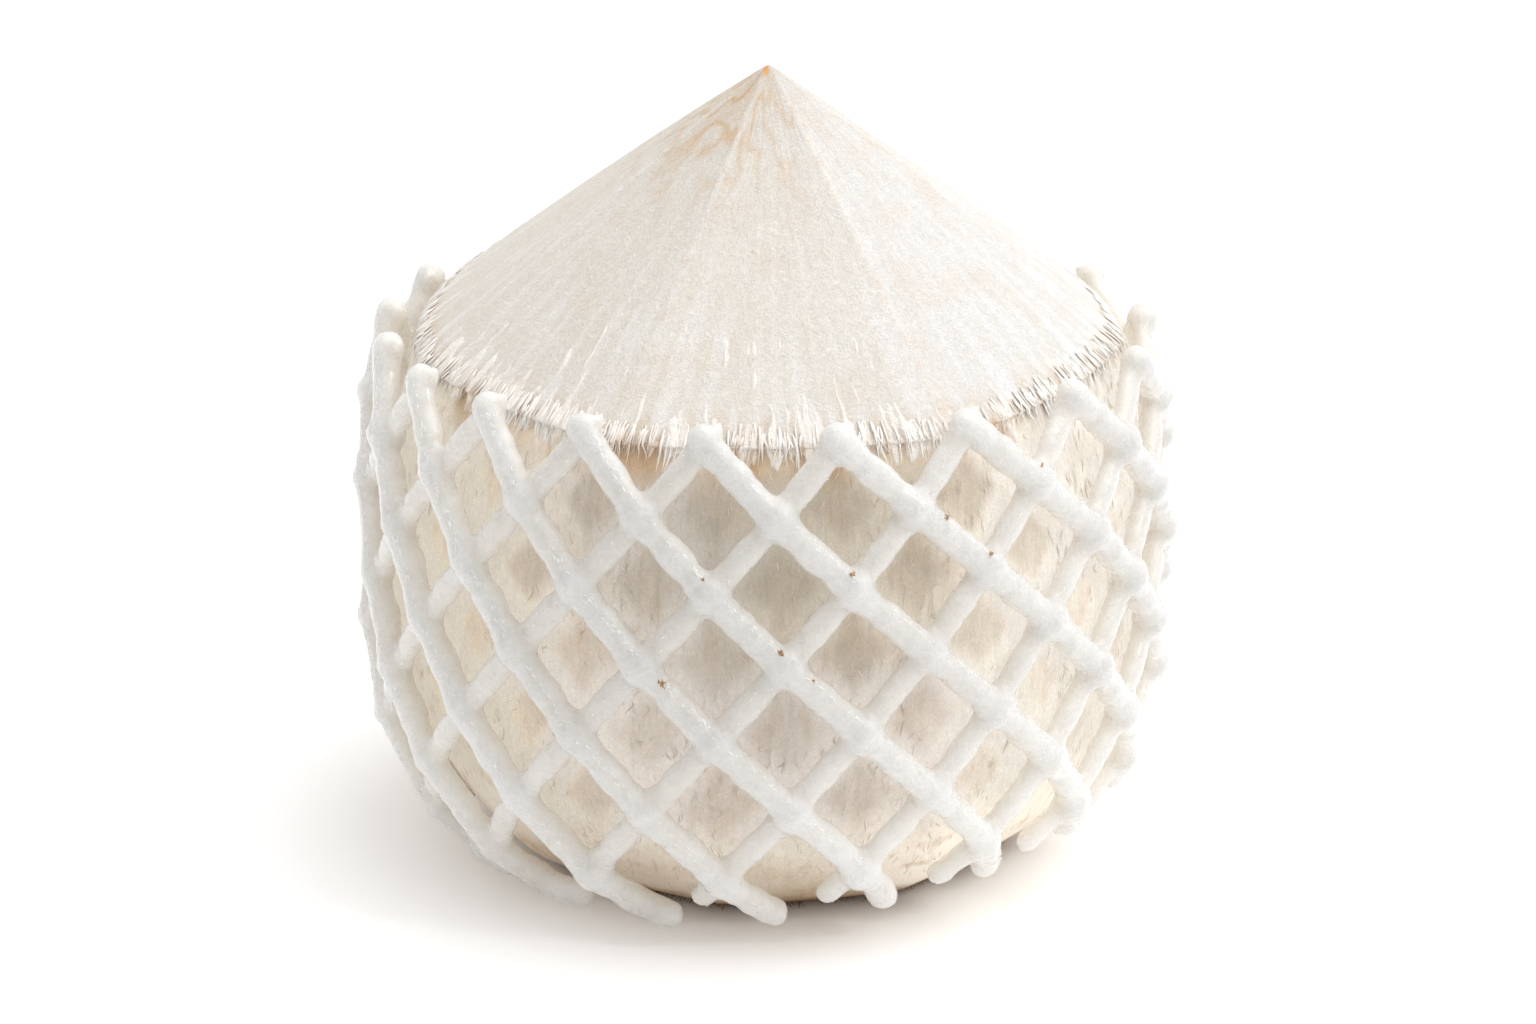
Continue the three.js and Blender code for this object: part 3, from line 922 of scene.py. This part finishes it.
def side_colours(here):
    """The sides: beige, painted lighter beside the net's strands and lighter or darker by side and height
    as painted light and shade, with painted shade in tan under the rim, and veined at the foot.
    """
    azimuth, rise, streak, patch = (here[name] for name in ("azimuth", "rise", "streak", "patch"))
    swirl, curl = here["swirl"], here["curl"]
    colours = mix(SIDE_GREY, SIDE_BEIGE, smooth(patch + 0.5 * streak, -0.6, 0.7))
    # Painted light: lighter beside and under the net's strands, as light let through the foam
    colours = mix(colours, SIDE_LIGHT_THROUGH_NET, strand_shade(azimuth, rise) * 0.75)
    colours = mix(colours, CURL_BROWN, smooth(streak + 0.3 * patch, 0.55, 0.95) * 0.16)
    # Painted light and shade: each side lighter or darker by side and height as the light falls on it,
    # bluer low down and at the sides, and its hue changed by side
    colours = np.minimum(colours * (SIDE_TONE + toned(here, SIDE_PAINTED_LIGHT))[..., None], SIDE_LIMIT)
    cool = np.maximum(smooth(rise, 66, 40), smooth(here["aside"], 20, 40))
    colours = hued(mix(colours, colours * COOLER, cool), here, SIDE_HUES)
    # Painted shade under the rim: tan, and a light brown band in its top few millimetres, which are also
    # painted lighter as painted light. The brown stains along the rim are the husk's own colour.
    rim_shade = smooth(rise, 79, RIM_HEIGHT - 1)
    colours = mix(colours, CUT_TAN, rim_shade * (0.2 + 0.35 * smooth(patch, -0.5, 0.8)))
    colours = np.minimum(colours * (1 + 0.2 * smooth(rise, 82, 85))[..., None], SIDE_LIMIT)
    brown = smooth(rise, 82, 86) * (0.06 + 0.12 * smooth(streak, -0.6, 0.6))
    brown = brown + 0.7 * stained(azimuth) * smooth(rise, 79, 85)
    colours = mix(colours, RIM_BROWN, np.clip(brown, 0, 1))

    foot = smooth(rise, 26, 15)
    # Painted light: the foot's cream lighter towards the right, where the light falls
    foot_painted_light = FOOT_CREAM * (0.96 + 0.26 * smooth(azimuth, 4, 34))[..., None]
    colours = mix(colours, foot_painted_light, foot * 0.9)
    veins = smooth(np.abs(here["squiggle"] + 0.5 * curl), 0.2, 0.02) * smooth(swirl, -0.3, 0.5)
    colours = mix(colours, CURL_BROWN, foot * veins * 0.42)
    low_tan = smooth(rise, 18, 6) * smooth(azimuth, 26, 12)
    colours = mix(colours, CUT_TAN, low_tan * (0.38 + 0.25 * smooth(swirl, -0.6, 0.6)))
    # Darker brown along the bottom edge of the base
    base_edge_brown = smooth(rise + 1.5 * curl, 5.5, 0.8)
    return mix(colours, FOOT_BROWN, base_edge_brown * 0.85)


def fruit_colours(rng, azimuth, turn, rise, cone, radius, height):
    """The cut surfaces' tones, point by point."""
    up = rise / height
    fields = {name: wander(rng, *size) for name, size in TONE_FIELDS.items()}
    here = {name: field(turn, up) for name, field in fields.items()}
    here.update(azimuth=azimuth, aside=np.abs(azimuth), rise=rise, radius=radius)
    here["flecks"] = fields["curl"](turn, up * FLECK_REPEATS % 1)
    return np.where(cone[..., None] > 0, cone_colours(here), side_colours(here))


def grain_of(azimuth, radius, rise, cone):
    """Coordinates that are fine round the fruit and long down it, so that noise in them makes fibres."""
    around = np.radians(azimuth)
    down = rise * np.where(cone > 0, CONE_GRAIN, SIDE_GRAIN)
    reach = 12 + radius * 0.8
    return np.stack([np.sin(around) * reach, np.cos(around) * reach, down], -1)


def fruit(rng, material, height):
    """The trimmed coconut, as rings of points closed at the base and the tip."""
    radius, rise, cone = (v[:, None] for v in fruit_profile(height))
    turn = (np.arange(TURN_STEPS) / TURN_STEPS)[None, :]
    azimuth = turn * 360 - 180 + 0 * radius
    radius, rise, cone, turn = (v + 0 * azimuth for v in (radius, rise, cone, turn))
    r = fruit_shape(radius, rise, cone, azimuth)
    relief = fruit_relief(rng, turn, rise, cone, radius, height)
    tilt = np.where(cone > 0, 0.62, side_facing(rise))
    r = r + relief * tilt
    z = rise + np.where(cone > 0, relief * 0.78, 0)
    lean = TIP_LEAN * np.maximum(0, z - RIM_HEIGHT) / (height - RIM_HEIGHT)
    around = np.radians(azimuth)
    rings = around_axis(around, r, z)
    rings[..., 0] += lean
    colours = fruit_colours(rng, azimuth, turn, rise, cone, radius, height)
    grain = grain_of(azimuth, radius, rise, cone)
    points = np.concatenate([rings.reshape(-1, 3), [[0, 0, 0], [TIP_LEAN, 0, height]]])
    colours = np.concatenate([colours.reshape(-1, 3), [FOOT_CREAM, IVORY]])
    grain = np.concatenate([grain.reshape(-1, 3), [[0, 0, 0], [0, 0, height * CONE_GRAIN]]])
    n, m = rings.shape[0], TURN_STEPS
    faces = ring_quads(n, m, False)
    faces.extend((n * m, (j + 1) % m, j) for j in range(m))
    faces.extend((n * m + 1, (n - 1) * m + j, (n - 1) * m + (j + 1) % m) for j in range(m))
    piece = mesh_piece("trimmed_coconut", points, faces, material, colours, grain)
    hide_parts("coconut")


# Loose fibres, as closed tapered blades


def surface_place(azimuth, fall, height):
    """A place `fall` millimetres down from the rim, or up the cone if negative, and the way out."""
    azimuth = np.asarray(azimuth, float)
    fall = np.asarray(fall, float)
    slope = cone_slope(height)
    slant = math.hypot(1, slope)
    r_cone = RIM_RADIUS + np.minimum(fall, 0) / slant
    z_cone = cone_height(r_cone, height)
    z_side = RIM_HEIGHT - np.maximum(fall, 0)
    shoulder = 1 + (cone_cut(azimuth, RIM_RADIUS) - 1) * smooth(z_side, *SHOULDER_HEIGHTS)
    r_side = side_reach(z_side) * shoulder
    on_cone = fall <= 0
    r = np.where(on_cone, r_cone * cone_cut(azimuth, r_cone), r_side)
    z = np.where(on_cone, z_cone, z_side)
    around = np.radians(azimuth)
    tilt = 1 - smooth(fall, -1.5, 1.5)
    level = np.cos(np.arctan2(1, slope) * tilt)
    return around_axis(around, r, z), around_axis(around, level, np.sqrt(1 - level ** 2))


def blades(name, line, out, width, depth, colours, material):
    """Many thin blades of diamond section: lines (n, m, 3), and half widths and depths (n, m)."""
    ahead = unit(np.gradient(line, axis=1))
    across = unit(np.cross(ahead, out))
    out = np.cross(across, ahead)
    corners = np.stack([
        line + across * width[..., None], line + out * depth[..., None],
        line - across * width[..., None], line - out * depth[..., None],
    ], 2)
    n, m = line.shape[:2]
    faces = []
    for i in range(n):
        faces.extend(tube_faces(m, 4, i * m * 4))
    paint = np.repeat(colours[:, :, None], 4, 2)
    return mesh_piece(name, corners, faces, material, paint)


def fringe_colours(fall, azimuth, strips, ridge, rimward, end):
    """Pale along each ridge, tan between them and at the tufts' ends, brown in the stains, and painted
    lighter just below the rim's edge as painted light.
    """
    colours = mix(CREAM * 1.08, IVORY * 1.12, ridge)
    colours = mix(colours, CUT_TAN, rimward * (1 - ridge) ** 1.6 * (0.22 + 0.3 * smooth(fall, -2, 1)))
    colours = mix(colours, CUT_TAN, smooth(fall - end, -1.6, 0.2) * 0.25)
    brown = smooth(fall, -3.2, 0.8) * stained(azimuth) * (1 - 0.7 * smooth(strips, -0.2, 0.9))
    colours = mix(colours, RIM_BROWN, brown * 0.75)
    # Painted light: lighter just below the rim's edge, against the shade that the tufts cast there
    return np.minimum(colours * (1 + 0.3 * bell(fall, 0.7, 0.8))[..., None], SIDE_LIMIT * 1.08)


def rim_fringe(rng, material, height):
    """The lower cone's raised fibres, which end as tufts over the rim, as one thin closed ring."""
    fall = np.concatenate([np.linspace(*FRINGE_STREAKS)[:-1], np.linspace(*FRINGE_TUFTS)])[:, None]
    turn = (np.arange(FRINGE_STEPS) / FRINGE_STEPS)[None, :] + 0 * fall
    fall = fall + 0 * turn
    azimuth = turn * 360 - 180
    along = (fall - FRINGE_STREAKS[0]) / (FRINGE_TUFTS[1] - FRINGE_STREAKS[0])
    bent = turn + layered(rng, FRINGE_BENDS, turn, along)
    strips = layered(rng, FRINGE_STRIPS, bent, along)
    bunch = layered(rng, FRINGE_BUNCHES, turn, along)
    rimward = smooth(fall, -9, -1.5)
    ridge = np.clip(0.42 + 0.5 * strips, 0, 1)
    streak = smooth(strips + 0.35 * bunch, 0.4, 1.3)
    end = 0.1 + 4.0 * ridge + 1.3 * bunch
    over = smooth(fall - end, -1.0, 0.5)
    tufts = (0.55 * ridge - 0.2) * (1 - 0.3 * smooth(fall, 0, 3))
    lift = (0.5 * streak - 0.3) * (1 - rimward) + tufts * rimward
    lift = lift * (1 - 0.5 * bell(fall, 0.2, 1.2)) + FRINGE_ROOT
    lift = lift * smooth(along, 0, 0.12) * (1 - over) - FRINGE_ROOT - 0.25 * over
    place, out = surface_place(azimuth, fall, height)
    outer = place + out * lift[..., None]
    inner = place[[-1, 0]] - out[[-1, 0]] * FRINGE_THICKNESS
    colours = fringe_colours(fall, azimuth, strips, ridge, rimward, end)
    grain = grain_of(azimuth, np.hypot(place[..., 0], place[..., 1]), place[..., 2], fall <= 0)
    rings = np.concatenate([outer, inner]).transpose(1, 0, 2)
    colours, grain = (np.concatenate([v, v[[-1, 0]]]).transpose(1, 0, 2) for v in (colours, grain))
    faces = ring_quads(*rings.shape[:2], True)
    mesh_piece("husk_fringe", rings, faces, material, colours, grain)


def rim_fibres(rng, material, height):
    """Single fibres along the rim, some fine and some broad."""
    count, steps = RIM_FIBRES["points"]
    broad = each(rng, count, 0, 1) < 0.5
    azimuth = each(rng, count, -180, 180)
    up = each(rng, count, *RIM_FIBRES["up"]) + 1.4 * broad
    broad_past, fine_past = (each(rng, count, *RIM_FIBRES[name]) for name in ("broad_past", "past"))
    length = up + np.where(broad, broad_past, fine_past) + 1.6 * each(rng, count, 0, 1) ** 4
    t = np.linspace(0, 1, steps)[None, :]
    fall = -up + length * t
    drift = rng.normal(0, 0.7, (count, 1)) * t ** 2 + rng.normal(0, 0.22, (count, 1)) * np.sin(4 * t)
    place, out = surface_place(azimuth + drift, fall, height)
    proud = 0.18 + each(rng, count, -0.12, 0.12) * t + 0.6 * broad * smooth(fall, -0.4, 2.6)
    place = place + out * proud[..., None]
    half = np.where(broad, each(rng, count, 0.2, 0.42), each(rng, count, 0.04, 0.09))
    half = half * np.clip(1.02 - t, 0.02, 1) ** 0.7 * smooth(t, -0.3, 0.3)
    pick = each(rng, count, 0, 1) + 0 * t
    tan = smooth(pick, 0.3, 0.95) * (0.1 + 0.5 * t) * np.where(broad, 0.7, 1)
    colours = mix(IVORY * 1.12, CUT_TAN, tan)
    colours = mix(colours, RIM_BROWN, stained(azimuth + 0 * t) * t * 0.7)
    blades("rim_fibres", place, out, half, half * np.where(broad, 0.35, 0.7), colours, material)


def side_fibres(rng, material, height):
    """Short fibres that lie on the sides inside the net's windows."""
    count, steps = SIDE_FIBRES["points"]
    azimuth = each(rng, count, -180, 180)
    fall = each(rng, count, *SIDE_FIBRES["fall"])
    length = each(rng, count, *SIDE_FIBRES["length"])
    t = np.linspace(0, 1, steps)[None, :]
    lean = rng.normal(0, 0.35, (count, 1)) * t + rng.normal(0, 0.25, (count, 1)) * np.sin(5 * t)
    place, out = surface_place(azimuth + lean, fall + length * t, height)
    place = place + out * (0.02 + each(rng, count, 0, 0.1) * np.sin(math.pi * t))[..., None]
    half = each(rng, count, 0.04, 0.1) * np.sin(math.pi * (0.04 + 0.92 * t)) ** 0.6
    pick = each(rng, count, 0, 1) + 0 * t
    colours = mix(SIDE_BEIGE, SIDE_GREY, smooth(pick, 0.1, 0.6))
    colours = mix(colours, CURL_BROWN, smooth(pick, 0.75, 1.0) * 0.45)
    blades("side_fibres", place, out, half, half * 0.4, colours, material)


def foot_fibres(rng, material):
    """Brown fibres that the cut left ragged round the edge of the base, lying along the floor."""
    count, steps = FOOT_FIBRES["points"]
    azimuth = np.radians(each(rng, count, -180, 180))
    t = np.linspace(0, 1, steps)[None, :]
    reach = cut_share(FOOT_RIDGES, FOOT_FLATS, np.degrees(azimuth)) * (BASE_RADIUS - 0.6)
    reach = reach + each(rng, count, *FOOT_FIBRES["length"]) * t
    turn = azimuth + np.radians(rng.normal(0, 2.2, (count, 1))) * t
    rise = each(rng, count, *FOOT_FIBRES["rise"]) * (1 - 0.5 * t) + 0.15
    place = around_axis(turn, reach, rise)
    half = each(rng, count, 0.08, 0.2) * np.clip(1.02 - t, 0.02, 1) ** 0.6
    colours = mix(FOOT_BROWN, CUT_TAN, each(rng, count, 0, 0.8) + 0 * t)
    blades("foot_fibres", place, (0.0, 0.0, 1.0), half, half * 0.5, colours, material)


def husk_crumbs(rng, material):
    """Small brown scraps of fibre caught in the corners where some of the strands cross."""
    count, steps = CRUMB_FIBRES["points"]
    corner = CRUMB_FIBRES["corner"]
    t = np.linspace(0, 1, steps)[None, :]
    lines, outs = [], []
    for row, index in CRUMBS:
        centre = strand_line(OVER, index, np.array([row]))
        out = outward(centre)
        across = unit(np.cross(out, (0, 0, 1)))
        rise = np.cross(across, out)
        way = each(rng, count, -1.2, 1.2)
        size = rng.uniform(*CRUMB_FIBRES["size"])
        reach = size * each(rng, count, 0.5, 1.1) * (t - 0.5)
        side = corner[0] + size * rng.normal(0, 0.25, (count, 1)) + reach * np.sin(way)
        up = corner[1] + size * rng.normal(0, 0.3, (count, 1)) + reach * np.cos(way)
        place = centre[0] + out[0] * OVER["depth"] * 0.86
        place = place + across[0] * side[..., None] + rise[0] * up[..., None]
        lines.append(place)
        outs.append(np.broadcast_to(out[0], place.shape))
    line = np.concatenate(lines)
    half = each(rng, len(line), 0.06, 0.14) * np.sin(math.pi * (0.08 + 0.84 * t))
    colours = mix(SPECK_BROWN, FOOT_BROWN, each(rng, len(line), 0, 1) + 0 * t)
    blades("husk_crumbs", line, np.concatenate(outs), half, half * 0.8, colours, material)


def foam_glint_beads(rng, material):
    """Painted highlights: fine near-white raised beads on the foam, most of them along the upper edges of
    the outer strands where glints fall, casting no shadow.
    """
    steps = np.linspace(-0.5, 0.5, 4)[None, :]
    lines, outs = [], []
    for family, count, edge, spread in GLINT_BEADS:
        for index in range(STRANDS):
            length = each(rng, count, *GLINT_BEAD_LENGTH) / ROW_LENGTH
            rows = each(rng, count, 0.05, ROWS + 0.4) + length * steps
            line = strand_line(family, index, rows)
            out = outward(line.reshape(-1, 3)).reshape(line.shape)
            across = unit(np.cross(np.gradient(line, axis=1), out))
            aside = np.clip(rng.normal(edge, spread, (count, 1)), -0.9, 0.9)
            aside = aside + rng.normal(0, 0.03, line.shape[:2])
            up = family["depth"] * np.sqrt(1 - np.clip(aside, -0.95, 0.95) ** 2)
            lines.append(line - across * (family["width"] * aside)[..., None] + out * up[..., None])
            outs.append(out)
    line, out = np.concatenate(lines), np.concatenate(outs)
    half = each(rng, len(line), 0.05, 0.11) * np.sin(math.pi * (0.1 + 0.8 * (steps + 0.5)))
    colours = np.broadcast_to(GLINT_BEAD_WHITE, line.shape)
    # Painted highlights: near-white beads that stand for the foam's glints, and cast no shadow
    threads = blades("foam_glint_beads", line, out, half, half, colours, material)
    threads.visible_shadow = False


# The stage


def soft_light(name, towards, spread, strength):
    """A large far softbox in the direction towards, `spread` degrees across as seen from the fruit."""
    data = bpy.data.lights.new(name, "SUN")
    data.angle = math.radians(spread)
    data.energy = strength
    data.color = WHITE
    put(name, data).rotation_euler = Vector(towards).to_track_quat("Z", "Y").to_euler()


def studio():
    world = bpy.data.worlds.new("soft_studio")
    world.use_nodes = True
    tree = world.node_tree
    way = tree.nodes.new("ShaderNodeTexCoord").outputs["Generated"]
    total = None
    for towards, strength in PANELS:
        facing = tree.nodes.new("ShaderNodeVectorMath")
        facing.operation = "DOT_PRODUCT"
        facing.inputs[1].default_value = towards
        tree.links.new(way, facing.inputs[0])
        lit = calculated(tree, "MAXIMUM", facing.outputs["Value"], 0.0)
        panel = calculated(tree, "MULTIPLY", lit, strength)
        total = panel if total is None else calculated(tree, "ADD", total, panel)
    background = tree.nodes["Background"]
    background.inputs["Color"].default_value = (*WHITE, 1.0)
    tree.links.new(total, background.inputs["Strength"])
    bpy.context.scene.world = world
    bpy.context.scene.view_settings.view_transform = "Standard"
    soft_light("key", KEY_TOWARDS, KEY_SPREAD, KEY_STRENGTH)
    soft_light("glint", GLINT_TOWARDS, GLINT_SPREAD, GLINT_STRENGTH)


def floor(material):
    mesh = bpy.data.meshes.new("floor")
    corners = [(x * FLOOR_REACH, y * FLOOR_REACH, 0) for x, y in ((-1, -1), (1, -1), (1, 1), (-1, 1))]
    mesh.from_pydata(corners, [], [(0, 1, 2, 3)])
    mesh.materials.append(material)
    put("floor", mesh)


def camera():
    data = bpy.data.cameras.new("camera")
    data.sensor_width = SENSOR
    data.lens = SENSOR * FOCAL_PIXELS / FRAME_PIXELS
    data.clip_start, data.clip_end = CAMERA_REACH
    target = Vector(CAMERA_TARGET) * MM
    back = Vector((0, -math.cos(CAMERA_ELEVATION), math.sin(CAMERA_ELEVATION)))
    eye = put("camera", data)
    eye.location = target + back * CAMERA_DISTANCE * MM
    eye.rotation_euler = back.to_track_quat("Z", "Y").to_euler()
    bpy.context.scene.camera = eye


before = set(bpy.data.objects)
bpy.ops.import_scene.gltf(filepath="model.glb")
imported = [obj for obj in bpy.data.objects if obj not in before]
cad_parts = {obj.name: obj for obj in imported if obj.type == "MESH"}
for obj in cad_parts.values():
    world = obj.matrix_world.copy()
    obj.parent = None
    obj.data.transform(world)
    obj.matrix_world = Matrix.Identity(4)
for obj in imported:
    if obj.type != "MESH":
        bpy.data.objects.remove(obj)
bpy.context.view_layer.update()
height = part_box("coconut")[1].z / MM
rng = np.random.default_rng(SEED)

camera()
studio()
floor(floor_material())
fibre = painted_material("husk_fibre", *FIBRE)
husk = husk_material()
fruit(rng, husk, height)
rim_fringe(rng, husk, height)
rim_fibres(rng, fibre, height)
side_fibres(rng, fibre, height)
foot_fibres(rng, fibre)
foam_net(rng, foam_material())
husk_crumbs(rng, fibre)
foam_glint_beads(rng, painted_material("glint_bead_foam", *GLINT_BEAD_PAINT))
